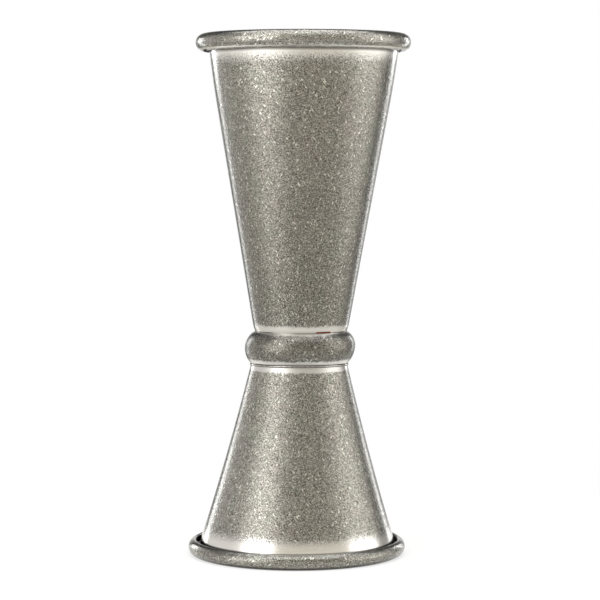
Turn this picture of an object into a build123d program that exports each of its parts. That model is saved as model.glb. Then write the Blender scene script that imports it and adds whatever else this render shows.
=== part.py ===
"""A double-ended drinks measure: two spun steel cups brazed foot to foot, with a band round the waist.

Sizes are in millimetres. The measure stands on the small cup's rim, with +Z up, and its origin is
in the middle of that rim, on the plane that it stands on. Every piece is turned about the Z axis.
A section is drawn with x as the radius and y as the height.
"""
from build123d import *
import math
import os

# Sheet of both cups
cup_sheet = 0.7

# Large cup, which opens upwards
upper_height = 66.15
upper_rim_radius = 22.68
upper_roll_radius = 1.87
upper_roll_turn = 178.0
upper_lip_radius = 1.3
upper_lip_lean = 6.6
upper_neck_radius = 250.0
upper_flare_radius = 20000.0
upper_waist_radius = 9.93
upper_corner_radius = 6.0

# Small cup, which opens downwards; its wall is this much wider where the band's lower edge meets it
lower_height = 43.9
lower_rim_radius = 23.05
lower_roll_radius = 1.66
lower_roll_turn = 163.0
lower_lip_radius = 1.3
lower_lip_lean = 6.0
lower_neck_radius = 20.0
lower_flare_radius = 600.0
lower_waist_step = 0.26
lower_corner_radius = 4.4

# Flat ring that is lapped on each rim, by how deep it is cut into the roll
land_depth = 0.03

# Braze between the two cups' feet
foot_braze_thickness = 0.15
foot_braze_radius = 5.4

# Band round the waist: a pressed hoop, hollow behind, whose two edges sit on the cups' walls
band_sheet = 0.8
band_rise = 3.5
band_drop = 3.25
band_widest_lift = 0.2
band_stand_out = 1.76
band_edge_width = 0.1

# Braze between the band's edges and the walls
band_braze_gap = 0.06
band_braze_run = 1.2
upper_braze_recess = 0.12
lower_bead_radius = 0.24

# Overrun of the shapes that only cut others
overrun = 1.0

joint_height = lower_height + foot_braze_thickness / 2
upper_foot_height = lower_height + foot_braze_thickness
lower_waist_radius = upper_waist_radius + lower_waist_step
quarter_turn = 90.0
half_turn = 180.0


def distance(a, b):
    """The distance between two points of a section."""
    return math.hypot(b[0] - a[0], b[1] - a[1])


def at_angle(centre, radius, angle):
    """The point of a circle at an angle in degrees."""
    turn = math.radians(angle)
    return (centre[0] + radius * math.cos(turn), centre[1] + radius * math.sin(turn))


def right_meeting_point(a, a_radius, b, b_radius):
    """Of the two points where circles round a and b cross, the one on the right of the way from a to b."""
    apart = distance(a, b)
    along = (apart ** 2 + a_radius ** 2 - b_radius ** 2) / (2 * apart)
    aside = math.sqrt(a_radius ** 2 - along ** 2)
    way = ((b[0] - a[0]) / apart, (b[1] - a[1]) / apart)
    return (a[0] + along * way[0] + aside * way[1], a[1] + along * way[1] - aside * way[0])


def lean_from(centre, point):
    """The wall's lean from upright, in degrees, where centre, out on the right, looks at point."""
    return math.degrees(math.atan2(point[1] - centre[1], centre[0] - point[0]))


class Cup:
    """A spun cup, mouth up, with height 0 at the outside of its foot.

    From the foot the sheet runs round a corner, up a wall that flares very slightly, through a neck
    that stands it more upright, over the lip and round the roll to its free edge.
    """

    def __init__(self, height, rim_radius, roll_radius, roll_turn, lip_radius, lip_lean,
                 neck_radius, flare_radius, waist, corner_radius):
        self.height = height
        self.roll_radius = roll_radius
        self.roll_end = quarter_turn - roll_turn
        self.lip_radius = lip_radius
        self.lip_lean = lip_lean
        self.neck_radius = neck_radius
        self.flare_radius = flare_radius
        self.corner_radius = corner_radius
        crest = height + land_depth
        self.roll_centre = (rim_radius - roll_radius, crest - roll_radius)
        self.lip_centre = (rim_radius - roll_radius, crest - lip_radius)
        back_of_lip = at_angle(self.lip_centre, lip_radius - cup_sheet, half_turn - lip_lean)
        self.neck_centre = at_angle(back_of_lip, neck_radius, half_turn - lip_lean)
        self.flare_centre = right_meeting_point(
            waist, flare_radius, self.neck_centre, flare_radius + neck_radius)
        reach = flare_radius + corner_radius
        side = math.sqrt(reach ** 2 - (self.flare_centre[1] - corner_radius) ** 2)
        self.corner_centre = (self.flare_centre[0] - side, corner_radius)
        self.top_lean = lean_from(self.flare_centre, self.neck_centre)
        self.foot_lean = lean_from(self.flare_centre, self.corner_centre)

    def outside_radius(self, height):
        """The outside radius of the corner or the wall at a height under the neck."""
        corner_top = at_angle(self.corner_centre, self.corner_radius, -self.foot_lean)[1]
        if height < corner_top:
            drop = self.corner_radius - height
            return self.corner_centre[0] + math.sqrt(self.corner_radius ** 2 - drop ** 2)
        rise = height - self.flare_centre[1]
        return self.flare_centre[0] - math.sqrt(self.flare_radius ** 2 - rise ** 2)


def arc(centre, radius, start, end):
    """An arc from one angle to another, in degrees."""
    return CenterArc(centre, radius, start, end - start)


def closed_face(outline):
    """The face inside lines and arcs that meet end to end."""
    return make_face(Wire.combine([edge for piece in outline for edge in piece.edges()])[0])


def cup_section(cup):
    """The sheet of a cup, cut through from its axis to its free edge."""
    roll_land_angle = math.degrees(math.asin(1 - land_depth / cup.roll_radius))
    lip_land_angle = math.degrees(math.asin(1 - land_depth / cup.lip_radius))
    edge_centre = at_angle(cup.roll_centre, cup.roll_radius - cup_sheet / 2, cup.roll_end)
    land_outside = at_angle(cup.roll_centre, cup.roll_radius, roll_land_angle)
    land_inside = at_angle(cup.lip_centre, cup.lip_radius, half_turn - lip_land_angle)
    lip_side = half_turn - cup.lip_lean
    wall_top = half_turn - cup.top_lean
    wall_foot = half_turn - cup.foot_lean
    outline = [
        Line((0, 0), (cup.corner_centre[0], 0)),
        arc(cup.corner_centre, cup.corner_radius, -quarter_turn, -cup.foot_lean),
        arc(cup.flare_centre, cup.flare_radius, wall_foot, wall_top),
        arc(cup.neck_centre, cup.neck_radius, -cup.top_lean, -cup.lip_lean),
        arc(cup.lip_centre, cup.lip_radius - cup_sheet, lip_side, quarter_turn),
        arc(cup.roll_centre, cup.roll_radius - cup_sheet, quarter_turn, cup.roll_end),
        arc(edge_centre, cup_sheet / 2, cup.roll_end + half_turn, cup.roll_end + 2 * half_turn),
        arc(cup.roll_centre, cup.roll_radius, cup.roll_end, roll_land_angle),
        Line(land_outside, land_inside),
        arc(cup.lip_centre, cup.lip_radius, half_turn - lip_land_angle, lip_side),
        arc(cup.neck_centre, cup.neck_radius - cup_sheet, -cup.lip_lean, -cup.top_lean),
        arc(cup.flare_centre, cup.flare_radius + cup_sheet, wall_top, wall_foot),
        arc(cup.corner_centre, cup.corner_radius - cup_sheet, -cup.foot_lean, -quarter_turn),
        Line((cup.corner_centre[0], cup_sheet), (0, cup_sheet)),
        Line((0, cup_sheet), (0, 0)),
    ]
    return closed_face(outline)


def wall_envelope(cup, clearance):
    """All that lies inside a cup's outside, from its foot up to its neck, grown by a clearance."""
    wall_radius = cup.flare_radius - clearance
    wall_top = half_turn - cup.top_lean
    neck = at_angle(cup.flare_centre, wall_radius, wall_top)
    outline = [
        Line((0, -clearance), (cup.corner_centre[0], -clearance)),
        arc(cup.corner_centre, cup.corner_radius + clearance, -quarter_turn, -cup.foot_lean),
        arc(cup.flare_centre, wall_radius, half_turn - cup.foot_lean, wall_top),
        Line(neck, (0, neck[1])),
        Line((0, neck[1]), (0, -clearance)),
    ]
    return closed_face(outline)


def stood_up(section):
    """A section drawn mouth up, set with its foot on the upper side of the joint."""
    return Pos(0, upper_foot_height) * section


def hung_down(section):
    """A section drawn mouth up, turned over, with its foot on the lower side of the joint."""
    return Pos(0, lower_height) * mirror(section, about=Plane.XZ)


def turned(section):
    """A section swept once round the axis."""
    return revolve(Plane.XZ * section, Axis.Z)


def slab(low, high, outer, inner=0):
    """A rectangle between two heights, from the axis or an inner radius out to an outer radius."""
    return Pos((inner + outer) / 2, (low + high) / 2) * Rectangle(outer - inner, high - low)


upper_shape = Cup(
    upper_height, upper_rim_radius, upper_roll_radius, upper_roll_turn, upper_lip_radius, upper_lip_lean,
    upper_neck_radius, upper_flare_radius,
    (upper_waist_radius, band_rise - foot_braze_thickness / 2), upper_corner_radius)
lower_shape = Cup(
    lower_height, lower_rim_radius, lower_roll_radius, lower_roll_turn, lower_lip_radius, lower_lip_lean,
    lower_neck_radius, lower_flare_radius,
    (lower_waist_radius, band_drop - foot_braze_thickness / 2), lower_corner_radius)

band_top = joint_height + band_rise
band_bottom = joint_height - band_drop
band_radius = upper_waist_radius + band_stand_out
band_widest_height = joint_height + band_widest_lift


def walls(clearance):
    """The space that the two cups take at the waist, grown by a clearance."""
    return stood_up(wall_envelope(upper_shape, clearance)) + hung_down(wall_envelope(lower_shape, clearance))


def bulge_radius(edge_radius, edge_height):
    """The radius of the band's arc from its widest place to one of its edges."""
    rise = edge_height - band_widest_height
    inset = band_radius - edge_radius
    return (rise ** 2 + inset ** 2) / (2 * inset)


def band_half(edge_radius, edge_height):
    """The band's sheet from its widest place to one edge, before it is trimmed to the walls."""
    outer = bulge_radius(edge_radius, edge_height)
    centre = band_radius - outer
    ring = Pos(centre, band_widest_height) * (Circle(outer) - Circle(outer - band_sheet))
    low, high = sorted((band_widest_height, edge_height))
    return ring & slab(low, high, band_radius, centre)


def band_section():
    """The band's sheet, trimmed to a braze gap from both walls."""
    edge_reach = band_braze_gap + band_edge_width
    upper_edge = upper_shape.outside_radius(band_top - upper_foot_height) + edge_reach
    lower_edge = lower_shape.outside_radius(lower_height - band_bottom) + edge_reach
    sheet = band_half(upper_edge, band_top) + band_half(lower_edge, band_bottom)
    return sheet - walls(band_braze_gap)


def make_upper_cup():
    return turned(stood_up(cup_section(upper_shape)))


def make_lower_cup():
    return turned(hung_down(cup_section(lower_shape)))


def make_waist_band():
    return turned(band_section())


def make_foot_braze():
    """The braze that fills the joint between the two feet, out to where their corners part."""
    space = slab(lower_height - overrun, upper_foot_height + overrun, foot_braze_radius)
    return turned(space - walls(0))


def make_upper_band_braze():
    """The braze between the band's upper edge and the large cup, a little below the band's top."""
    top = band_top - upper_braze_recess
    layer = slab(top - band_braze_run, top, band_radius) & walls(band_braze_gap)
    return turned(layer - walls(0))


def make_lower_band_braze():
    """The braze between the band's lower edge and the small cup, with a round bead that shows below it."""
    layer = slab(band_bottom, band_bottom + band_braze_run, band_radius) & walls(band_braze_gap)
    bead_height = band_bottom - lower_bead_radius
    bead_place = lower_shape.outside_radius(lower_height - bead_height)
    bead = Pos(bead_place, bead_height) * Circle(lower_bead_radius)
    neck = slab(bead_height, band_bottom, bead_place + band_braze_gap)
    return turned(layer + bead + neck - walls(0))


pieces = {
    "upper_cup": make_upper_cup(),
    "lower_cup": make_lower_cup(),
    "waist_band": make_waist_band(),
    "foot_braze": make_foot_braze(),
    "upper_band_braze": make_upper_band_braze(),
    "lower_band_braze": make_lower_band_braze(),
}

os.makedirs("parts", exist_ok=True)
for name, piece in pieces.items():
    export_step(piece, f"parts/{name}.step")
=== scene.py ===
"""A double-ended drinks measure in antiqued steel: the looks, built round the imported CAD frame.

Lengths are in metres, with +Z up. The measure stands on the small cup's rim, and every piece is turned
about the Z axis. A section is drawn with x as the radius and y as the height. Azimuths are in degrees
from the camera's side of the measure, -Y, and grow towards +X.
"""
import math
from collections import namedtuple

import bmesh
import bpy
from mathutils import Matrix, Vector


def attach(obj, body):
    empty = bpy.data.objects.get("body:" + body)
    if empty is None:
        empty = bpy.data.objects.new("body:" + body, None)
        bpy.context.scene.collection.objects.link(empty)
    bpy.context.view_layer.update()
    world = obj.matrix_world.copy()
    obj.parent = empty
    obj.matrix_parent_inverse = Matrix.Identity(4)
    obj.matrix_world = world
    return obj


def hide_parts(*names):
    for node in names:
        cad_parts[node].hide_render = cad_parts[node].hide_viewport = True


MM = 0.001

# Sheet and flat ring of both cups
cup_sheet = 0.7 * MM
land_depth = 0.03 * MM

# Large cup
upper_height = 66.15 * MM
upper_rim_radius = 22.68 * MM
upper_roll_radius = 1.87 * MM
upper_roll_turn = 178.0
upper_lip_radius = 1.3 * MM
upper_lip_lean = 6.6
upper_neck_radius = 250.0 * MM
upper_flare_radius = 20000.0 * MM
upper_waist_radius = 9.93 * MM
upper_corner_radius = 6.0 * MM

# Small cup
lower_height = 43.9 * MM
lower_rim_radius = 23.05 * MM
lower_roll_radius = 1.66 * MM
lower_roll_turn = 163.0
lower_lip_radius = 1.3 * MM
lower_lip_lean = 6.0
lower_neck_radius = 20.0 * MM
lower_flare_radius = 600.0 * MM
lower_waist_step = 0.26 * MM
lower_corner_radius = 4.4 * MM

# Waist
foot_braze_thickness = 0.15 * MM
foot_braze_radius = 5.4 * MM
band_sheet = 0.8 * MM
band_rise = 3.5 * MM
band_drop = 3.25 * MM
band_widest_lift = 0.2 * MM
band_stand_out = 1.76 * MM
band_edge_width = 0.1 * MM
band_braze_gap = 0.06 * MM
band_braze_run = 1.2 * MM
band_ease = 0.1 * MM
band_front_lift = 0.3 * MM
upper_fillet = 0.1 * MM
lower_bead_radius = 0.24 * MM

# How the real one is askew: its axis leans right, steps right at the waist, and its rolls stand to the left
axis_lean = 0.62
lean_middle = 55.0 * MM
waist_aside = 0.3 * MM
upper_roll_aside = 0.15 * MM
lower_roll_aside = 0.11 * MM

# Stretches where the upper seam's braze swells, in azimuth: one is copper-coloured and two are dark
copper_start = 20.0
copper_end = 38.0
copper_swell = 4.2
right_dark_start = 43.0
right_dark_end = 70.0
left_dark_start = -53.0
left_dark_end = -37.0
dark_swell = 1.8
swell_outwards = 0.25
stretch_fade = 2.5

# Meshes: steps round the axis and along each run of a section, and the share of bake detail of a full run
around = 320
wall_steps = 24
curve_steps = 12
roll_steps = 30
foot_steps = 5
full_share = 1.0
point_tolerance = 0.0007 * MM

# Turns in degrees
quarter_turn = 90.0
half_turn = 180.0
full_turn = 360.0

# Worked out
joint_height = lower_height + foot_braze_thickness / 2
upper_foot_height = lower_height + foot_braze_thickness
lower_waist_radius = upper_waist_radius + lower_waist_step
band_top = joint_height + band_rise
band_bottom = joint_height - band_drop
band_radius = upper_waist_radius + band_stand_out
band_widest_height = joint_height + band_widest_lift

# Polished heights, and a painted highlight: full from full_from to full_to, gone at low_gone and high_gone,
# far off if left out
PolishAndHighlight = namedtuple("PolishAndHighlight", "low_gone full_from full_to high_gone tone roughness share",
                    defaults=(-200.0 * MM, -190.0 * MM, 300.0 * MM, 310.0 * MM, None, None, 1.0))
upper_rim_polish = PolishAndHighlight(
    low_gone=102.7 * MM, full_from=106.5 * MM, tone=(0.75, 0.73, 0.682), roughness=0.48)
upper_waist_polish = PolishAndHighlight(
    full_to=48.6 * MM, high_gone=49.6 * MM, tone=(0.6, 0.585, 0.545), roughness=0.38)
lower_waist_polish = PolishAndHighlight(
    low_gone=39.0 * MM, full_from=39.7 * MM, tone=(0.57, 0.555, 0.52), roughness=0.42)
lower_rim_polish = PolishAndHighlight(
    full_to=4.0 * MM, high_gone=7.3 * MM, tone=(0.68, 0.66, 0.62), roughness=0.24)
upper_crest_wear = PolishAndHighlight(
    low_gone=108.9 * MM, full_from=110.3 * MM, tone=(0.5, 0.49, 0.455), roughness=0.3, share=0.7)
# Painted highlight: a light band low on the large roll, in place of a reflection of the table
upper_belly_painted_highlight = PolishAndHighlight(
    low_gone=107.3 * MM, full_from=107.7 * MM, full_to=107.9 * MM, high_gone=108.4 * MM,
    tone=(0.42, 0.41, 0.38), roughness=0.34, share=0.6)
upper_edge_wear = PolishAndHighlight(
    low_gone=106.62 * MM, full_from=106.72 * MM, full_to=106.95 * MM, high_gone=107.1 * MM,
    tone=(0.6, 0.59, 0.55), roughness=0.34)
lower_crest_wear = PolishAndHighlight(
    low_gone=2.5 * MM, full_from=3.3 * MM, tone=(0.48, 0.47, 0.435), roughness=0.3, share=0.7)
upper_lip_wear = PolishAndHighlight(
    low_gone=46.9 * MM, full_from=47.45 * MM, tone=(0.48, 0.465, 0.43), roughness=0.3)
lower_lip_wear = PolishAndHighlight(
    full_to=41.45 * MM, high_gone=42.1 * MM, tone=(0.66, 0.645, 0.6), roughness=0.34)

# Painted shade in bands by the rolls and at the foot: the height where it is full, and the height where it
# has gone
ShadeBand = namedtuple("ShadeBand", "full gone")
shade_under_upper_roll = ShadeBand(full=106.58 * MM, gone=105.93 * MM)
shade_by_lower_roll = ShadeBand(full=3.0 * MM, gone=3.3 * MM)
contact_shade = ShadeBand(full=0.4 * MM, gone=0.85 * MM)

# Painted shadow: black patches where the upper roll's gap lies in shade at its two ends
GapShadow = namedtuple("GapShadow", "left right top")
gap_shadows = (
    GapShadow(left=-20.12 * MM, right=-19.3 * MM, top=106.61 * MM),
    GapShadow(left=20.75 * MM, right=21.15 * MM, top=106.53 * MM),
)
gap_shadow_fade = 0.08 * MM

# Camera: the photograph's, seen from a little below the upper rim
frame_pixels = 600
focal_pixels = 2363
sensor_width = 36.0
camera_distance = 500.0 * MM
camera_height = 86.0 * MM
aim_height = 54.06 * MM
camera_shift_x = 0.03 * MM
clip_factor = 100


def distance(a, b):
    """The distance between two points of a section."""
    return math.hypot(b[0] - a[0], b[1] - a[1])


def at_angle(centre, radius, angle):
    """The point of a circle at an angle in degrees."""
    turn = math.radians(angle)
    return (centre[0] + radius * math.cos(turn), centre[1] + radius * math.sin(turn))


def right_meeting_point(a, a_radius, b, b_radius):
    """Of the two points where circles round a and b cross, the one on the right of the way from a to b."""
    apart = distance(a, b)
    along = (apart ** 2 + a_radius ** 2 - b_radius ** 2) / (2 * apart)
    aside = math.sqrt(a_radius ** 2 - along ** 2)
    way = ((b[0] - a[0]) / apart, (b[1] - a[1]) / apart)
    return (a[0] + along * way[0] + aside * way[1], a[1] + along * way[1] - aside * way[0])


def lean_from(centre, point):
    """The wall's lean from upright, in degrees, where centre, out on the right, looks at point."""
    return math.degrees(math.atan2(point[1] - centre[1], centre[0] - point[0]))


def eased(value, low, high):
    """0 below low, 1 above high, and a smooth step between."""
    share = min(max((value - low) / (high - low), 0), 1)
    return share * share * (3 - 2 * share)


class Cup:
    """A spun cup, mouth up, with height 0 at the outside of its foot."""

    def __init__(self, height, rim_radius, roll_radius, roll_turn, lip_radius, lip_lean,
                 neck_radius, flare_radius, waist, corner_radius):
        self.height = height
        self.roll_radius = roll_radius
        self.roll_end = quarter_turn - roll_turn
        self.lip_radius = lip_radius
        self.lip_lean = lip_lean
        self.neck_radius = neck_radius
        self.flare_radius = flare_radius
        self.corner_radius = corner_radius
        crest = height + land_depth
        self.roll_centre = (rim_radius - roll_radius, crest - roll_radius)
        self.lip_centre = (rim_radius - roll_radius, crest - lip_radius)
        self.back_of_lip = at_angle(self.lip_centre, lip_radius - cup_sheet, half_turn - lip_lean)
        self.neck_centre = at_angle(self.back_of_lip, neck_radius, half_turn - lip_lean)
        self.flare_centre = right_meeting_point(
            waist, flare_radius, self.neck_centre, flare_radius + neck_radius)
        reach = flare_radius + corner_radius
        side = math.sqrt(reach ** 2 - (self.flare_centre[1] - corner_radius) ** 2)
        self.corner_centre = (self.flare_centre[0] - side, corner_radius)
        self.top_lean = lean_from(self.flare_centre, self.neck_centre)
        self.foot_lean = lean_from(self.flare_centre, self.corner_centre)

    def outside_radius(self, height):
        """The outside radius of the corner or the wall at a height under the neck."""
        corner_top = at_angle(self.corner_centre, self.corner_radius, -self.foot_lean)[1]
        if height < corner_top:
            drop = self.corner_radius - height
            return self.corner_centre[0] + math.sqrt(self.corner_radius ** 2 - drop ** 2)
        rise = height - self.flare_centre[1]
        return self.flare_centre[0] - math.sqrt(self.flare_radius ** 2 - rise ** 2)


class Outline:
    """The points of a section in order.

    Each point has the share of bake detail and the material slot of the run up to it. A loop's last point is
    joined to its first.
    """

    def __init__(self, start):
        self.points = [start]
        self.shares = [0]
        self.slots = [0]
        self.loop = False

    def to(self, point, share, slot=0):
        """A straight run to a point, unless it is where the last point is."""
        if distance(point, self.points[-1]) > point_tolerance:
            self.points.append(point)
            self.shares.append(share)
            self.slots.append(slot)

    def line(self, end, steps, share, slot=0):
        """A straight run in equal steps."""
        start = self.points[-1]
        for i in range(1, steps + 1):
            way = i / steps
            point = (start[0] + (end[0] - start[0]) * way, start[1] + (end[1] - start[1]) * way)
            self.to(point, share, slot)

    def arc(self, centre, radius, start, end, steps, share, slot=0):
        """A round run in equal steps, from one angle to another."""
        for i in range(steps + 1):
            self.to(at_angle(centre, radius, start + (end - start) * i / steps), share, slot)


def cup_outline(cup):
    """The sheet of a cup from the outside of its foot, over the rim, to the inside of its foot."""
    outside_share = 1.0
    roll_share = 1.4
    inside_share = 0.5
    hidden_share = 0.25
    edge_slot = 1
    wall_slot = 2
    roll_slot = 3
    hidden_slot = 4
    roll_land_angle = math.degrees(math.asin(1 - land_depth / cup.roll_radius))
    lip_land_angle = math.degrees(math.asin(1 - land_depth / cup.lip_radius))
    edge_centre = at_angle(cup.roll_centre, cup.roll_radius - cup_sheet / 2, cup.roll_end)
    lip_side = half_turn - cup.lip_lean
    wall_top = half_turn - cup.top_lean
    wall_foot = half_turn - cup.foot_lean
    outline = Outline((0, 0))
    outline.line((cup.corner_centre[0], 0), foot_steps, hidden_share)
    outline.arc(cup.corner_centre, cup.corner_radius, -quarter_turn, -cup.foot_lean,
                curve_steps, hidden_share, wall_slot)
    outline.arc(cup.flare_centre, cup.flare_radius, wall_foot, wall_top,
                wall_steps, outside_share, wall_slot)
    outline.arc(cup.neck_centre, cup.neck_radius, -cup.top_lean, -cup.lip_lean,
                wall_steps, outside_share, wall_slot)
    outline.arc(cup.lip_centre, cup.lip_radius - cup_sheet, lip_side, quarter_turn,
                curve_steps, hidden_share, hidden_slot)
    outline.arc(cup.roll_centre, cup.roll_radius - cup_sheet, quarter_turn, cup.roll_end,
                roll_steps, hidden_share, hidden_slot)
    outline.arc(edge_centre, cup_sheet / 2, cup.roll_end + half_turn, cup.roll_end + 2 * half_turn,
                curve_steps, roll_share, edge_slot)
    outline.arc(cup.roll_centre, cup.roll_radius, cup.roll_end, roll_land_angle,
                roll_steps, roll_share, roll_slot)
    outline.arc(cup.lip_centre, cup.lip_radius, half_turn - lip_land_angle, lip_side,
                curve_steps, roll_share, roll_slot)
    outline.arc(cup.neck_centre, cup.neck_radius - cup_sheet, -cup.lip_lean, -cup.top_lean,
                wall_steps // 2, inside_share)
    outline.arc(cup.flare_centre, cup.flare_radius + cup_sheet, wall_top, wall_foot,
                wall_steps // 2, inside_share)
    outline.arc(cup.corner_centre, cup.corner_radius - cup_sheet, -cup.foot_lean, -quarter_turn,
                curve_steps, inside_share)
    outline.line((0, cup_sheet), foot_steps, inside_share)
    return outline


def stood_up(outline):
    """An outline drawn mouth up, set with its foot on the upper side of the joint."""
    outline.points = [(r, upper_foot_height + h) for r, h in outline.points]
    return outline


def hung_down(outline):
    """An outline drawn mouth up, turned over, with its foot on the lower side of the joint."""
    outline.points = [(r, lower_height - h) for r, h in outline.points]
    return outline


def closed(outline, share):
    """An outline as a loop, with the share of bake detail of the run that joins its ends."""
    outline.to(outline.points[0], share)
    outline.points.pop()
    outline.shares[0] = outline.shares.pop()
    outline.slots[0] = outline.slots.pop()
    outline.loop = True
    return outline


def runs_along(outline, shares):
    """How far each point is along an outline, where each run counts as its share.

    The last value is for the first point again.
    """
    runs = [0]
    count = len(outline.points)
    for i in range(1, count + 1):
        run = distance(outline.points[i - 1], outline.points[i % count])
        runs.append(runs[-1] + run * shares[i % count])
    return runs


def bake_heights(outline):
    """How high each point of an outline lies on the bake map, and last its first point again, from 0 to 1."""
    runs = runs_along(outline, outline.shares)
    total = runs[-1] if outline.loop else runs[-2]
    return [run / total for run in runs]


def askew(x, y, z):
    """A point set sideways as the real one's axis is at its height."""
    lean = math.tan(math.radians(axis_lean)) * (z - lean_middle)
    return (x + lean + waist_aside * eased(z, band_bottom, band_top), y, z)


def swept_places(outline, settle):
    """The places of an outline's points all round the axis, and each point's ring of their numbers."""
    places = []
    rings = []
    for radius, height in outline.points:
        if radius == 0:
            rings.append([len(places)] * around)
            places.append(askew(0, 0, height))
            continue
        rings.append(list(range(len(places), len(places) + around)))
        for i in range(around):
            turn = 2 * math.pi * i / around
            place = (radius * math.sin(turn), radius * math.cos(turn), height)
            places.append(askew(*settle(*place)) if settle else askew(*place))
    return places, rings


def ring_faces(low, high, point):
    """The faces from a point's ring to the next, with each corner's place, share of the turn and point."""
    faces = []
    for i in range(around):
        j = (i + 1) % around
        start_share = i / around
        end_share = (i + 1) / around
        face = [(low[i], start_share, point), (low[j], end_share, point),
                (high[j], end_share, point + 1), (high[i], start_share, point + 1)]
        if low[i] == low[j]:
            face.pop(1)
        elif high[i] == high[j]:
            face.pop(2)
        faces.append(face)
    return faces


def add_map(mesh, name, faces, width, heights):
    """Adds a map that is width wide for the whole turn, and on which each point has its height."""
    values = []
    for face in faces:
        for place, share, point in face:
            values.extend((share * width, heights[point]))
    mesh.uv_layers.new(name=name).data.foreach_set("uv", values)


def turned(name, outline, settle=None):
    """A piece swept once round the axis. settle moves a point (x, y, z) of it a little, as handwork does."""
    places, rings = swept_places(outline, settle)
    count = len(outline.points)
    faces = []
    slots = []
    for point in range(count if outline.loop else count - 1):
        following = (point + 1) % count
        faces.extend(ring_faces(rings[point], rings[following], point))
        slots.extend([outline.slots[following]] * around)
    mesh = bpy.data.meshes.new(name)
    mesh.from_pydata(places, [], [[corner[0] for corner in face] for face in faces])
    girth = 2 * math.pi * max(radius for radius, height in outline.points)
    add_map(mesh, "OFBake", faces, 1, bake_heights(outline))
    add_map(mesh, "Surface", faces, girth, runs_along(outline, [full_share] * count))
    mesh.polygons.foreach_set("material_index", slots)
    mesh.polygons.foreach_set("use_smooth", [True] * len(faces))
    form = bmesh.new()
    form.from_mesh(mesh)
    bmesh.ops.recalc_face_normals(form, faces=form.faces)
    form.to_mesh(mesh)
    form.free()
    piece = bpy.data.objects.new(name, mesh)
    bpy.context.scene.collection.objects.link(piece)
    return piece


upper_shape = Cup(
    upper_height, upper_rim_radius, upper_roll_radius, upper_roll_turn, upper_lip_radius, upper_lip_lean,
    upper_neck_radius, upper_flare_radius,
    (upper_waist_radius, band_rise - foot_braze_thickness / 2), upper_corner_radius)
lower_shape = Cup(
    lower_height, lower_rim_radius, lower_roll_radius, lower_roll_turn, lower_lip_radius, lower_lip_lean,
    lower_neck_radius, lower_flare_radius,
    (lower_waist_radius, band_drop - foot_braze_thickness / 2), lower_corner_radius)


def upper_wall(height):
    """The large cup's outside radius at a height of the measure."""
    return upper_shape.outside_radius(height - upper_foot_height)


def lower_wall(height):
    """The small cup's outside radius at a height of the measure."""
    return lower_shape.outside_radius(lower_height - height)


def roll_settle(cup, aside):
    """Sets a cup's roll a little to the left of its wall."""
    def settle(x, y, z):
        return (x - aside * eased(math.hypot(x, y), cup.back_of_lip[0], cup.roll_centre[0]), y, z)
    return settle


def make_upper_cup():
    """The large cup, standing on the joint."""
    settle = roll_settle(upper_shape, upper_roll_aside)
    return turned("large_cup", stood_up(cup_outline(upper_shape)), settle)


def make_lower_cup():
    """The small cup, hanging from the joint."""
    settle = roll_settle(lower_shape, lower_roll_aside)
    return turned("small_cup", hung_down(cup_outline(lower_shape)), settle)


def band_settle(x, y, z):
    """Sets the band a little higher in front than behind, as it is on the real one."""
    return (x, y, z - band_front_lift * y / band_radius)


def make_waist_band():
    """The band's sheet: its outside from the top edge down, and its inside back up."""
    hidden_share = 0.3
    ease_share = 0.25
    reach = band_braze_gap + band_edge_width
    upper_seat = upper_wall(band_top) + band_braze_gap
    upper_edge = (upper_wall(band_top) + reach, band_top)
    lower_edge = (lower_wall(band_bottom) + reach, band_bottom)
    outline = Outline((upper_seat, band_top - band_ease))
    outline.to((upper_seat + band_ease * ease_share, band_top - band_ease * ease_share), full_share)
    centres = []
    for edge in (upper_edge, lower_edge):
        rise = edge[1] - band_widest_height
        inset = band_radius - edge[0]
        radius = (rise ** 2 + inset ** 2) / (2 * inset)
        angle = math.degrees(math.asin(rise / radius))
        centres.append(((band_radius - radius, band_widest_height), radius, angle))
    (high_centre, high_radius, high_angle), (low_centre, low_radius, low_angle) = centres
    outline.arc(high_centre, high_radius, high_angle, 0, roll_steps, full_share)
    outline.arc(low_centre, low_radius, 0, low_angle, roll_steps, full_share)
    outline.to((lower_wall(band_bottom) + band_braze_gap, band_bottom), full_share)
    inner_low = lower_wall(band_bottom + band_braze_run) + band_braze_gap
    outline.to((inner_low, band_bottom + band_braze_run), hidden_share)
    outline.arc(low_centre, low_radius - band_sheet, low_angle / 2, 0, curve_steps, hidden_share)
    outline.arc(high_centre, high_radius - band_sheet, 0, high_angle / 2, curve_steps, hidden_share)
    inner_high = upper_wall(band_top - band_braze_run) + band_braze_gap
    outline.to((inner_high, band_top - band_braze_run), hidden_share)
    return turned("waist_ring", closed(outline, full_share), band_settle)


def make_foot_braze():
    """The braze between the two feet."""
    outline = Outline((0, lower_height))
    outline.line((foot_braze_radius, lower_height), foot_steps, full_share)
    outline.to((foot_braze_radius, upper_foot_height), full_share)
    outline.line((0, upper_foot_height), foot_steps, full_share)
    return turned("feet_braze", outline)


def within(azimuth, start, end):
    """1 along a stretch of the upper seam, and 0 elsewhere."""
    return eased(azimuth, start - stretch_fade, start) * (1 - eased(azimuth, end, end + stretch_fade))


def seam_swell(azimuth):
    """How many times its plain height the upper seam's bead is."""
    copper = within(azimuth, copper_start, copper_end)
    right_dark = within(azimuth, right_dark_start, right_dark_end)
    left_dark = within(azimuth, left_dark_start, left_dark_end)
    dark = max(right_dark, left_dark)
    return 1 + (copper_swell - 1) * copper + (dark_swell - 1) * dark


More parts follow.
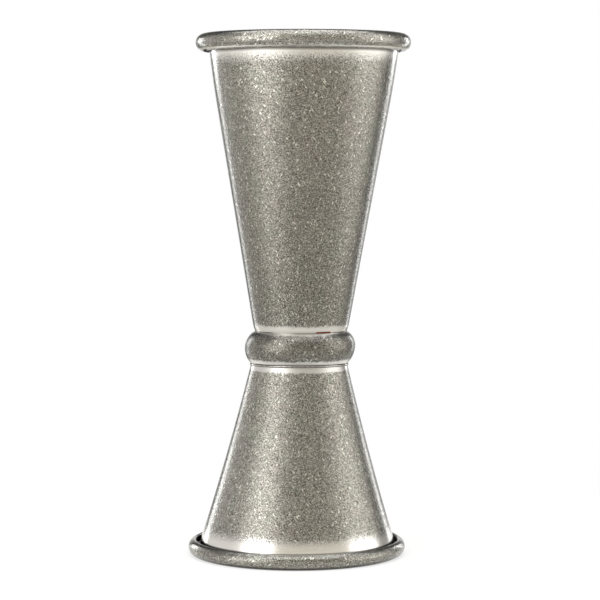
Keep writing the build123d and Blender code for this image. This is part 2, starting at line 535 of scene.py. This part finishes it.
def make_upper_band_braze():
    """The braze in the seam above the band: a thin bead that swells in places, and the layer below it."""
    corner = upper_wall(band_top)
    outline = Outline((upper_wall(band_top + upper_fillet), band_top + upper_fillet))
    outline.arc((corner, band_top), upper_fillet, quarter_turn, 0, curve_steps // 2, full_share)
    outline.to((corner + band_braze_gap, band_top - band_ease), full_share)
    low = band_top - band_braze_run
    outline.to((upper_wall(low) + band_braze_gap, low), full_share)
    outline.to((upper_wall(low), low), full_share)

    def settle(x, y, z):
        if z < band_top:
            return band_settle(x, y, z)
        swell = seam_swell(math.degrees(math.atan2(x, -y)))
        radius = math.hypot(x, y)
        swollen_height = band_top + (z - band_top) * swell
        thickness = (radius - upper_wall(z)) * (1 + (swell - 1) * swell_outwards)
        out = (upper_wall(swollen_height) + thickness) / radius
        return band_settle(x * out, y * out, swollen_height)

    return turned("upper_seam_braze", closed(outline, full_share), settle)


def make_lower_band_braze():
    """The braze in the seam below the band: a round bead, pale along its middle, and the layer above it."""
    pale_slot = 1
    pale_start = 40.0
    pale_end = -20.0
    bead_height = band_bottom - lower_bead_radius
    bead_centre = (lower_wall(bead_height), bead_height)
    high = band_bottom + band_braze_run
    bead_start = quarter_turn - math.degrees(band_braze_gap / lower_bead_radius)
    outline = Outline((lower_wall(high), high))
    outline.to((lower_wall(high) + band_braze_gap, high), full_share)
    outline.to((lower_wall(band_bottom) + band_braze_gap, band_bottom), full_share)
    outline.arc(bead_centre, lower_bead_radius, bead_start, pale_start, curve_steps // 2, full_share)
    outline.arc(bead_centre, lower_bead_radius, pale_start, pale_end, curve_steps, full_share, pale_slot)
    outline.arc(bead_centre, lower_bead_radius, pale_end, -quarter_turn, curve_steps // 2, full_share)
    return turned("lower_seam_braze", closed(outline, full_share), band_settle)


# Materials. A pair of ends holds the values that count as 0 and as 1

# Values that follow the height: at_low up to the height low, and at_high from the height high
Rise = namedtuple("Rise", "low high at_low at_high")
# Painted shade: both walls dimmed towards the waist, in place of dimmer reflections there
upper_painted_shade = Rise(low=50.0 * MM, high=96.0 * MM, at_low=0.8, at_high=1.04)
lower_painted_shade = Rise(low=6.0 * MM, high=38.0 * MM, at_low=1.05, at_high=0.98)
steady_roughness = Rise(low=0.0, high=100.0 * MM, at_low=0.38, at_high=0.38)
lower_roughness = Rise(low=6.0 * MM, high=38.0 * MM, at_low=0.375, at_high=0.45)

# Tones of the tumbled steel
cup_tone = (0.206, 0.199, 0.176)
inside_tone = (0.37, 0.36, 0.325)
band_tone = (0.145, 0.138, 0.122)
upper_roll_tone = (0.235, 0.226, 0.2)
lower_roll_tone = (0.207, 0.199, 0.176)

# Grains: facets mixed with short strokes that lean both ways, from a dark to a light share of the tone
grain_size = 0.095 * MM
grain_relief = 0.004 * MM
grain_soft = 0.5
grain_power = 1.75
grain_ends = (0.12, 0.88)
dark_grain_share = 0.05
light_grain_share = 2.95
stroke_length = 0.14 * MM
stroke_width = 0.065 * MM
stroke_leans = (45, -45)
stroke_ends = (0.75, 1.25)
stroke_share = 0.3

# Nicks and specks: the share of the cells that has one, and how many times the tone they are
nick_length = 1.1 * MM
nick_width = 0.3 * MM
nick_leans = (42, -48)
nick_core = 0.2
nick_edge = 0.4
nick_share = 0.02
speck_share = 0.03
bright_share = 4.2

# Clouds and tints that wander over the surface
cloud_size = 7.0 * MM
cloud_detail = 3.0
cloud_ends = (0.3, 0.7)
cloud_shares = (0.95, 1.05)
tint_size = 3.5 * MM
tint_ends = (0.35, 0.65)
rosy_tint = (1.02, 0.99, 1.0)
green_tint = (0.98, 1.01, 0.98)

# Polish: how far its edges drift up and down, and its streaks round the measure
drift_size = 1.6 * MM
drift_reach = 0.15 * MM
drift_ends = (0.25, 0.75)
streak_size = 0.15 * MM
streak_stretch = (0.05, 0.05, 1.0)
dark_streak_share = 0.92
light_streak_share = 1.08
relief_left_share = 0.1

# Painted shade in bands, and black patches of painted shadow in the roll's gap
shade_band_share = 0.93
shade_band_tone = (0.03, 0.027, 0.023)
gap_shadow_tone = (0.004, 0.004, 0.003)
gap_shadow_roughness = 0.9

# Roughness where the surface is seen along, and between which values of Facing it gets there
facing_head_on = 0.45
facing_along = 0.66
wall_grazing = 0.15
roll_grazing = 0.2
band_grazing = 0.26
polish_grazing = 0.2
stain_grazing = 0.2

# Bare and brazed metal, stained from dark to light, and near-black painted shade inside the curls
StainAndShade = namedtuple("StainAndShade", "dark light size roughness")
stain_ends = (0.3, 0.7)
worn_edge_stain = StainAndShade(dark=(0.2, 0.196, 0.186), light=(0.45, 0.44, 0.42), size=0.5 * MM, roughness=0.3)
# Painted shade: the inside of the curls near-black, where shade falls
curl_shade = StainAndShade(dark=(0.01, 0.009, 0.008), light=(0.03, 0.028, 0.025), size=1.0 * MM, roughness=0.5)
dark_braze_stain = StainAndShade(dark=(0.04, 0.038, 0.034), light=(0.12, 0.115, 0.1), size=0.4 * MM, roughness=0.5)
silver_stain = StainAndShade(dark=(0.24, 0.225, 0.2), light=(0.5, 0.485, 0.45), size=0.6 * MM, roughness=0.35)
copper_stain_size = 0.5 * MM


def node(tree, kind, inputs=None, **settings):
    """Adds a shader node. An input is set to a number or colour, or linked from a socket."""
    made = tree.nodes.new("ShaderNode" + kind)
    for name, value in settings.items():
        setattr(made, name, value)
    for name, value in (inputs or {}).items():
        if isinstance(value, bpy.types.NodeSocket):
            tree.links.new(value, made.inputs[name])
        else:
            made.inputs[name].default_value = value
    return made


def sum_of(tree, operation, a, b=0.0):
    """The result of a Math node."""
    return node(tree, "Math", {0: a, 1: b}, operation=operation).outputs[0]


def spread(tree, value, low, high, at_low=0.0, at_high=1.0):
    """A value remapped from one range to another, and kept inside it."""
    inputs = {"Value": value, "From Min": low, "From Max": high, "To Min": at_low, "To Max": at_high}
    return node(tree, "MapRange", inputs).outputs["Result"]


def window(tree, value, low_gone, full_from, full_to, high_gone):
    """1 from full_from to full_to, and 0 below low_gone and above high_gone."""
    rising = spread(tree, value, low_gone, full_from)
    falling = spread(tree, value, full_to, high_gone, 1.0, 0.0)
    return sum_of(tree, "MULTIPLY", rising, falling)


def mixed(tree, share, a, b, blend="MIX"):
    """Two colours mixed."""
    return node(tree, "Mix", {0: share, 6: a, 7: b}, data_type="RGBA", blend_type=blend).outputs[2]


def mixed_values(tree, share, a, b):
    """Two values mixed."""
    return node(tree, "Mix", {0: share, 2: a, 3: b}, data_type="FLOAT").outputs[0]


def dimmed(tree, colour, share):
    """A colour times a value."""
    grey = node(tree, "CombineColor", {0: share, 1: share, 2: share}).outputs[0]
    return mixed(tree, 1.0, colour, grey, "MULTIPLY")


def channel(tree, colour, which):
    """One of the three values of a colour."""
    return node(tree, "SeparateColor", {0: colour}).outputs[which]


def noise(tree, place, size, detail=2.0):
    """A noise whose features are about as large as size."""
    return node(tree, "TexNoise", {"Vector": place, "Scale": 1 / size, "Detail": detail}).outputs[0]


def linear(red, green, blue):
    """A colour for a socket from its three linear values."""
    return (red, green, blue, 1.0)


def toned(tone, share):
    """A tone made lighter or darker, for a socket."""
    return linear(*(share * value for value in tone))


def azimuth_of(tree, parts):
    """The azimuth, in radians, of a place or a direction. parts are its three values."""
    frontwards = sum_of(tree, "MULTIPLY", parts.outputs["Y"], -1.0)
    return sum_of(tree, "ARCTAN2", parts.outputs["X"], frontwards)


def new_material(name):
    """A material, with its node tree and its shader."""
    material = bpy.data.materials.new(name)
    material.use_nodes = True
    return material, material.node_tree, material.node_tree.nodes["Principled BSDF"]


def make_metal(tree, shader, colour, rough):
    """Makes a shader bare metal."""
    tree.links.new(colour, shader.inputs["Base Color"])
    tree.links.new(rough, shader.inputs["Roughness"])
    shader.inputs["Metallic"].default_value = 1.0


def leaned(tree, surface, lean, length, width):
    """The surface's place in units of a length and a width that lie at an angle on it."""
    inputs = {"Vector": surface, "Rotation": (0, 0, math.radians(lean)), "Scale": (length, width, 1)}
    return node(tree, "Mapping", inputs, vector_type="TEXTURE").outputs[0]


def nick_mask(tree, surface, lean):
    """1 on sparse short nicks that lie at an angle on the surface, and 0 elsewhere."""
    place = leaned(tree, surface, lean, nick_length, nick_width)
    cells = node(tree, "TexVoronoi", {"Vector": place, "Scale": 1.0}, voronoi_dimensions="2D")
    chosen = sum_of(tree, "LESS_THAN", channel(tree, cells.outputs["Color"], 0), nick_share)
    core = spread(tree, cells.outputs["Distance"], nick_core, nick_edge, 1.0, 0.0)
    return sum_of(tree, "MULTIPLY", chosen, core)


def stroke_value(tree, surface, lean):
    """Short strokes that lie at an angle on the surface, as a value from 0 to 1."""
    place = leaned(tree, surface, lean, stroke_length, stroke_width)
    inputs = {"Vector": place, "Scale": 1.0, "Detail": 0.0}
    return node(tree, "TexNoise", inputs, noise_dimensions="2D").outputs[0]


def grain_and_specks(tree, place, surface):
    """Random grains as a value from 0 to 1, and a mask of the few of them that are bright specks."""
    cells = node(tree, "TexVoronoi", {"Vector": place, "Scale": 1 / grain_size})
    facets = channel(tree, cells.outputs["Color"], 0)
    strokes = [stroke_value(tree, surface, lean) for lean in stroke_leans]
    crossed = spread(tree, sum_of(tree, "ADD", *strokes), *stroke_ends)
    grain = spread(tree, mixed_values(tree, stroke_share, facets, crossed), *grain_ends)
    specks = sum_of(tree, "LESS_THAN", channel(tree, cells.outputs["Color"], 1), speck_share)
    return grain, specks


def tumbled_colour(tree, tone, place, surface, height, grain, specks, shade):
    """A tone in dark and light grains, faint tints and clouds, painted shade by height, and bright nicks and
    specks.
    """
    dark = toned(tone, dark_grain_share)
    light = toned(tone, light_grain_share)
    colour = mixed(tree, sum_of(tree, "POWER", grain, grain_power), dark, light)
    tint = spread(tree, noise(tree, place, tint_size), *tint_ends)
    tinted = mixed(tree, tint, linear(*rosy_tint), linear(*green_tint))
    colour = mixed(tree, 1.0, colour, tinted, "MULTIPLY")
    cloud = noise(tree, place, cloud_size, cloud_detail)
    colour = dimmed(tree, colour, spread(tree, cloud, *cloud_ends, *cloud_shares))
    # Painted shade: the tone dimmed by height
    if shade:
        colour = dimmed(tree, colour, spread(tree, height, *shade))
    nicks = [nick_mask(tree, surface, lean) for lean in nick_leans]
    bright = sum_of(tree, "MAXIMUM", sum_of(tree, "MAXIMUM", *nicks), specks)
    return mixed(tree, bright, colour, toned(tone, bright_share))


def steel_roughness(tree, head_on, grazing):
    """Roughness that falls where the surface is seen along, as on a blasted finish."""
    facing = node(tree, "LayerWeight", {"Blend": 0.5}).outputs["Facing"]
    return spread(tree, facing, facing_head_on, facing_along, head_on, grazing)


def zone_mask(tree, height, grain, zone):
    """How far the grains are polished. Where the polish fades, the light grains are polished first."""
    inside = window(tree, height, zone.low_gone, zone.full_from, zone.full_to, zone.high_gone)
    reach = sum_of(tree, "MULTIPLY", inside, (1 + grain_soft) * zone.share)
    return spread(tree, sum_of(tree, "ADD", reach, grain), 1.0, 1.0 + grain_soft)


def polished(tree, place, height, grain, colour, rough, zones):
    """The colour and roughness with polish and painted highlights over them, and the share of relief that is
    left.
    """
    drift = spread(tree, noise(tree, place, drift_size), *drift_ends, -drift_reach, drift_reach)
    wandering = sum_of(tree, "ADD", height, drift)
    stretched = node(tree, "Mapping", {"Vector": place, "Scale": streak_stretch}).outputs[0]
    streaks = noise(tree, stretched, streak_size)
    relief_share = 1.0
    for zone in zones:
        mask = zone_mask(tree, wandering, grain, zone)
        dark = toned(zone.tone, dark_streak_share)
        light = toned(zone.tone, light_streak_share)
        colour = mixed(tree, mask, colour, mixed(tree, streaks, dark, light))
        rough = mixed_values(tree, mask, rough, steel_roughness(tree, zone.roughness, polish_grazing))
        left_here = spread(tree, mask, 0.0, 1.0, 1.0, relief_left_share)
        relief_share = sum_of(tree, "MULTIPLY", relief_share, left_here)
    return colour, rough, relief_share


def with_gap_shadows(tree, parts, colour, rough, painted_shadows):
    """The colour and roughness with black, matt painted shadow over them. parts are the place's three values.
    """
    for patch in painted_shadows:
        across = window(tree, parts.outputs["X"], patch.left - gap_shadow_fade, patch.left,
                        patch.right, patch.right + gap_shadow_fade)
        below = spread(tree, parts.outputs["Z"], patch.top, patch.top + gap_shadow_fade, 1.0, 0.0)
        in_shadow = sum_of(tree, "MULTIPLY", across, below)
        # Painted shadow: black and matt inside each patch
        colour = mixed(tree, in_shadow, colour, linear(*gap_shadow_tone))
        rough = mixed_values(tree, in_shadow, rough, gap_shadow_roughness)
    return colour, rough


def antiqued_steel(name, tone, zones=(), shade_band=None, shade=None, roughness=steady_roughness,
                   grazing=wall_grazing, painted_shadows=()):
    """Tumbled, antiqued steel: dark and light grains, small bright nicks, and heights that stay polished.

    zones are its polished heights and painted highlights, and shade and the shade band are painted shade by
    height.
    """
    material, tree, shader = new_material(name)
    place = node(tree, "TexCoord").outputs["Object"]
    surface = node(tree, "UVMap", uv_map="Surface").outputs["UV"]
    parts = node(tree, "SeparateXYZ", {0: place})
    height = parts.outputs["Z"]
    grain, specks = grain_and_specks(tree, place, surface)
    colour = tumbled_colour(tree, tone, place, surface, height, grain, specks, shade)
    rough = steel_roughness(tree, spread(tree, height, *roughness), grazing)
    colour, rough, relief_share = polished(tree, place, height, grain, colour, rough, zones)
    # Painted shade: a dark band where shade falls by a roll or at the foot
    if shade_band:
        shade_cover = spread(tree, height, shade_band.full, shade_band.gone, shade_band_share, 0.0)
        colour = mixed(tree, shade_cover, colour, linear(*shade_band_tone))
    colour, rough = with_gap_shadows(tree, parts, colour, rough, painted_shadows)
    bump = node(tree, "Bump", {"Height": grain, "Strength": relief_share, "Distance": grain_relief})
    tree.links.new(bump.outputs[0], shader.inputs["Normal"])
    make_metal(tree, shader, colour, rough)
    return material


def stained_and_shaded_metal(name, stain_and_shade, painted_shadows=()):
    """Metal whose colour wanders between two, for braze, a bare edge, or the inside of a curl as near-black
    painted shade.
    """
    material, tree, shader = new_material(name)
    place = node(tree, "TexCoord").outputs["Object"]
    parts = node(tree, "SeparateXYZ", {0: place})
    mottle = spread(tree, noise(tree, place, stain_and_shade.size), *stain_ends)
    colour = mixed(tree, mottle, linear(*stain_and_shade.dark), linear(*stain_and_shade.light))
    rough = steel_roughness(tree, stain_and_shade.roughness, stain_grazing)
    make_metal(tree, shader, *with_gap_shadows(tree, parts, colour, rough, painted_shadows))
    return material


def copper_braze():
    """Dark braze, with a copper-coloured stretch on the right of the front."""
    plain_dark = (0.02, 0.018, 0.015)
    plain_light = (0.11, 0.1, 0.085)
    copper_dark = (0.07, 0.022, 0.014)
    copper_light = (0.26, 0.085, 0.052)
    dark_roughness = 0.6
    light_roughness = 0.4
    material, tree, shader = new_material("copper_braze")
    place = node(tree, "TexCoord").outputs["Object"]
    turn = azimuth_of(tree, node(tree, "SeparateXYZ", {0: place}))
    ends = (copper_start - stretch_fade, copper_start, copper_end, copper_end + stretch_fade)
    stretch = window(tree, turn, *(math.radians(azimuth) for azimuth in ends))
    mottle = spread(tree, noise(tree, place, copper_stain_size), *stain_ends)
    plain = mixed(tree, mottle, linear(*plain_dark), linear(*plain_light))
    copper = mixed(tree, mottle, linear(*copper_dark), linear(*copper_light))
    rough = spread(tree, mottle, 0.0, 1.0, dark_roughness, light_roughness)
    make_metal(tree, shader, mixed(tree, stretch, plain, copper), rough)
    return material


# Floor, lamps and world

floor_radius = 110.0 * MM
floor_steps = 96
paper_tone = (0.35, 0.35, 0.34)
paper_glow = 0.66
white = (1.0, 1.0, 1.0)

# Upright lamps: half_angle is half the width in degrees, as seen from the axis, and away how far off they are
Softbox = namedtuple("Softbox", "name low high away azimuth half_angle radiance")
lamp_colour = (0.96, 0.97, 1.0)
far_off = 600.0 * MM
near_by = 115.0 * MM
lamp_foot = -80.0 * MM
lamp_top = 900.0 * MM
strip_split = 70.0 * MM
strip_top = 240.0 * MM
left_near_top = 30.0 * MM
right_near_top = 32.0 * MM
softboxes = (
    Softbox("left_softbox", lamp_foot, lamp_top, far_off,
            azimuth=-49, half_angle=18.5, radiance=2.62),
    Softbox("right_softbox", lamp_foot, lamp_top, far_off,
            azimuth=88, half_angle=22, radiance=1.68),
    Softbox("left_low_edge_strip", lamp_foot, strip_split, far_off,
            azimuth=-142.5, half_angle=6, radiance=1.95),
    Softbox("left_high_edge_strip", strip_split, strip_top, far_off,
            azimuth=-142.5, half_angle=6, radiance=4.3),
    Softbox("left_near_strip", 0, left_near_top, near_by,
            azimuth=-134, half_angle=7, radiance=1.05),
    Softbox("right_near_strip", 0, right_near_top, near_by,
            azimuth=138, half_angle=6, radiance=0.5),
    Softbox("right_low_edge_strip", lamp_foot, strip_split, far_off,
            azimuth=146.5, half_angle=4.5, radiance=2.5),
    Softbox("right_high_edge_strip", strip_split, strip_top, far_off,
            azimuth=146.5, half_angle=4.5, radiance=4.4),
)

# A large lamp overhead
overhead_side = 800.0 * MM
overhead_place = (0, -100.0 * MM, 650.0 * MM)
overhead_radiance = 2.2

# World: the colours round the measure, each with its azimuth
front_light = (0.86, 0.82, 0.73)
left_light = (0.93, 0.916, 0.902)
left_gap = (0.13, 0.128, 0.121)
left_fall = (0.4, 0.39, 0.375)
right_fall = (0.34, 0.333, 0.315)
right_gap = (0.18, 0.176, 0.166)
world_ring = (
    (-180, left_gap),
    (-148, left_gap),
    (-138, left_fall),
    (-127, left_light),
    (-72, left_light),
    (-66, front_light),
    (109, front_light),
    (114, right_fall),
    (142, right_fall),
    (151, right_gap),
    (180, right_gap),
)

# World: what is high above and far below, from which sine of the height angle on, and the white behind
ceiling_tone = (0.12, 0.12, 0.12)
ceiling_from_sine = 0.42
ceiling_full_sine = 0.66
ground_tone = (0.8, 0.775, 0.72)
ground_from_sine = -0.18
ground_full_sine = -0.36
backdrop_full_angle = 15.0
backdrop_gone_angle = 18.0


def pale_table():
    """Pale paper that glows to the camera and in reflections."""
    material, tree, shader = new_material("pale_table")
    tree.nodes.remove(shader)
    seen = node(tree, "LightPath")
    indirect = sum_of(tree, "MAXIMUM", seen.outputs["Is Glossy Ray"], seen.outputs["Is Transmission Ray"])
    shown = sum_of(tree, "MAXIMUM", seen.outputs["Is Camera Ray"], indirect)
    paper = node(tree, "BsdfDiffuse", {"Color": linear(*paper_tone)})
    strength = sum_of(tree, "MULTIPLY", shown, paper_glow)
    glow = node(tree, "Emission", {"Color": linear(*white), "Strength": strength})
    both = node(tree, "AddShader", {0: paper.outputs[0], 1: glow.outputs[0]})
    tree.links.new(both.outputs[0], tree.nodes["Material Output"].inputs["Surface"])
    return material


def make_floor():
    """A round pale table top. The camera and reflections see it as white, with the measure's shadow."""
    form = bmesh.new()
    bmesh.ops.create_circle(form, cap_ends=True, segments=floor_steps, radius=floor_radius)
    mesh = bpy.data.meshes.new("table_top")
    form.to_mesh(mesh)
    form.free()
    floor = bpy.data.objects.new("table_top", mesh)
    bpy.context.scene.collection.objects.link(floor)
    mesh.materials.append(pale_table())


def area_lamp(name, width, height, radiance):
    """A lamp that the camera doesn't see. radiance is how bright its face is."""
    light = bpy.data.lights.new(name, "AREA")
    light.shape = "RECTANGLE"
    light.size = width
    light.size_y = height
    light.energy = math.pi * width * height * radiance
    lamp = bpy.data.objects.new(name, light)
    lamp.visible_camera = False
    bpy.context.scene.collection.objects.link(lamp)
    return lamp


def make_softbox(box):
    """An upright lamp that faces the measure."""
    width = 2 * box.away * math.tan(math.radians(box.half_angle))
    lamp = area_lamp(box.name, width, box.high - box.low, box.radiance)
    lamp.data.color = lamp_colour
    turn = math.radians(box.azimuth)
    lamp.location = (box.away * math.sin(turn), -box.away * math.cos(turn), (box.low + box.high) / 2)
    inwards = Vector((0, 0, lamp.location.z)) - lamp.location
    lamp.rotation_euler = inwards.to_track_quat("-Z", "Y").to_euler()


def make_lamps():
    """The softboxes round the measure, and a large lamp over it that shines straight down."""
    for box in softboxes:
        make_softbox(box)
    overhead = area_lamp("overhead", overhead_side, overhead_side, overhead_radiance)
    overhead.location = overhead_place


def make_world():
    """A studio: white behind the measure, warm in front, darker at the sides, and white to the camera."""
    world = bpy.data.worlds.new("studio")
    bpy.context.scene.world = world
    world.use_nodes = True
    tree = world.node_tree
    parts = node(tree, "SeparateXYZ", {0: node(tree, "TexCoord").outputs["Generated"]})
    ramp = node(tree, "ValToRGB", {"Fac": spread(tree, azimuth_of(tree, parts), -math.pi, math.pi)})
    stops = ramp.color_ramp.elements
    while len(stops) < len(world_ring):
        stops.new(1.0)
    for stop, (azimuth, colour) in zip(stops, world_ring):
        stop.position = (azimuth + half_turn) / full_turn
        stop.color = linear(*colour)
    above = spread(tree, parts.outputs["Z"], ceiling_from_sine, ceiling_full_sine)
    below = spread(tree, parts.outputs["Z"], ground_from_sine, ground_full_sine)
    colour = mixed(tree, above, ramp.outputs[0], linear(*ceiling_tone))
    colour = mixed(tree, below, colour, linear(*ground_tone))
    off_behind = sum_of(tree, "ARCCOSINE", parts.outputs["Y"])
    full = math.radians(backdrop_full_angle)
    gone = math.radians(backdrop_gone_angle)
    backdrop = spread(tree, off_behind, full, gone, 1.0, 0.0)
    seen = sum_of(tree, "MAXIMUM", backdrop, node(tree, "LightPath").outputs["Is Camera Ray"])
    shown = mixed(tree, seen, colour, linear(*white))
    tree.links.new(shown, tree.nodes["Background"].inputs["Color"])


def make_camera():
    """The camera, in the photograph's place."""
    data = bpy.data.cameras.new("camera")
    data.sensor_width = sensor_width
    data.lens = sensor_width * focal_pixels / frame_pixels
    data.clip_start = camera_distance / clip_factor
    data.clip_end = camera_distance * clip_factor
    camera = bpy.data.objects.new("camera", data)
    pitch = math.atan2(camera_height - aim_height, camera_distance)
    camera.location = (camera_shift_x, -camera_distance, camera_height)
    camera.rotation_euler = (math.pi / 2 - pitch, 0, 0)
    bpy.context.scene.collection.objects.link(camera)
    bpy.context.scene.camera = camera


def put(piece, node_name, slot_name, *materials):
    """Puts a piece in its node's place, on the measure's one body."""
    for material in materials:
        piece.data.materials.append(material)
    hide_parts(node_name)
    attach(piece, "root")


def put_large_cup(inside, curl):
    """The large cup, with its materials in the order of its outline's slots."""
    wall = antiqued_steel("large_wall", cup_tone, [upper_rim_polish, upper_waist_polish],
                          shade_under_upper_roll, upper_painted_shade)
    # Wear on the roll, and a band of painted highlight low on it
    wear_and_highlight = [upper_crest_wear, upper_belly_painted_highlight, upper_edge_wear]
    roll = antiqued_steel("large_roll", upper_roll_tone, wear_and_highlight, grazing=roll_grazing, painted_shadows=gap_shadows)
    # Painted shade: the roll's free edge and the inside of its curl take the near-black curl material
    put(make_upper_cup(), "upper_cup", "cup_steel", inside, curl, wall, roll, curl)


def put_small_cup(inside, curl):
    """The small cup, with its materials in the order of its outline's slots."""
    edge = stained_and_shaded_metal("worn_edge", worn_edge_stain)
    wall = antiqued_steel("small_wall", cup_tone, [lower_waist_polish, lower_rim_polish],
                          shade_by_lower_roll, lower_painted_shade, lower_roughness)
    roll = antiqued_steel("small_roll", lower_roll_tone, [lower_crest_wear], contact_shade,
                          grazing=roll_grazing)
    put(make_lower_cup(), "lower_cup", "cup_steel", inside, edge, wall, roll, curl)


def put_band():
    """The band, in its one material."""
    steel = antiqued_steel("band_steel", band_tone, [upper_lip_wear, lower_lip_wear], grazing=band_grazing)
    put(make_waist_band(), "waist_band", "band_steel", steel)


def put_brazes():
    """The three brazes. The lower seam's bead is silver along its middle and dark beside it."""
    dark_braze = stained_and_shaded_metal("dark_braze", dark_braze_stain)
    silver = stained_and_shaded_metal("silver_braze", silver_stain)
    put(make_foot_braze(), "foot_braze", "braze", silver)
    put(make_lower_band_braze(), "lower_band_braze", "braze", dark_braze, silver)
    put(make_upper_band_braze(), "upper_band_braze", "copper_braze", copper_braze())


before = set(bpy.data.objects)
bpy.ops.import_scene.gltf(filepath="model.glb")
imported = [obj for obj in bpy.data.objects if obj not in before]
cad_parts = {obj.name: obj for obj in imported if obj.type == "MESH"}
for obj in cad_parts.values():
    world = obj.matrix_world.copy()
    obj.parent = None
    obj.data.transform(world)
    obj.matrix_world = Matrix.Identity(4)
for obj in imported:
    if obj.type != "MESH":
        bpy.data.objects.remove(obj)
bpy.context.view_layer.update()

make_camera()
make_world()
make_lamps()
make_floor()

cup_inside = antiqued_steel("antiqued_inside", inside_tone)
# Painted shade: near-black curl material, with black patches of painted shadow at the large roll's gap
curl_painted_shade = stained_and_shaded_metal("curl_painted_shade", curl_shade, gap_shadows)
put_large_cup(cup_inside, curl_painted_shade)
put_small_cup(cup_inside, curl_painted_shade)
put_band()
put_brazes()

bpy.context.scene.view_settings.view_transform = "Standard"
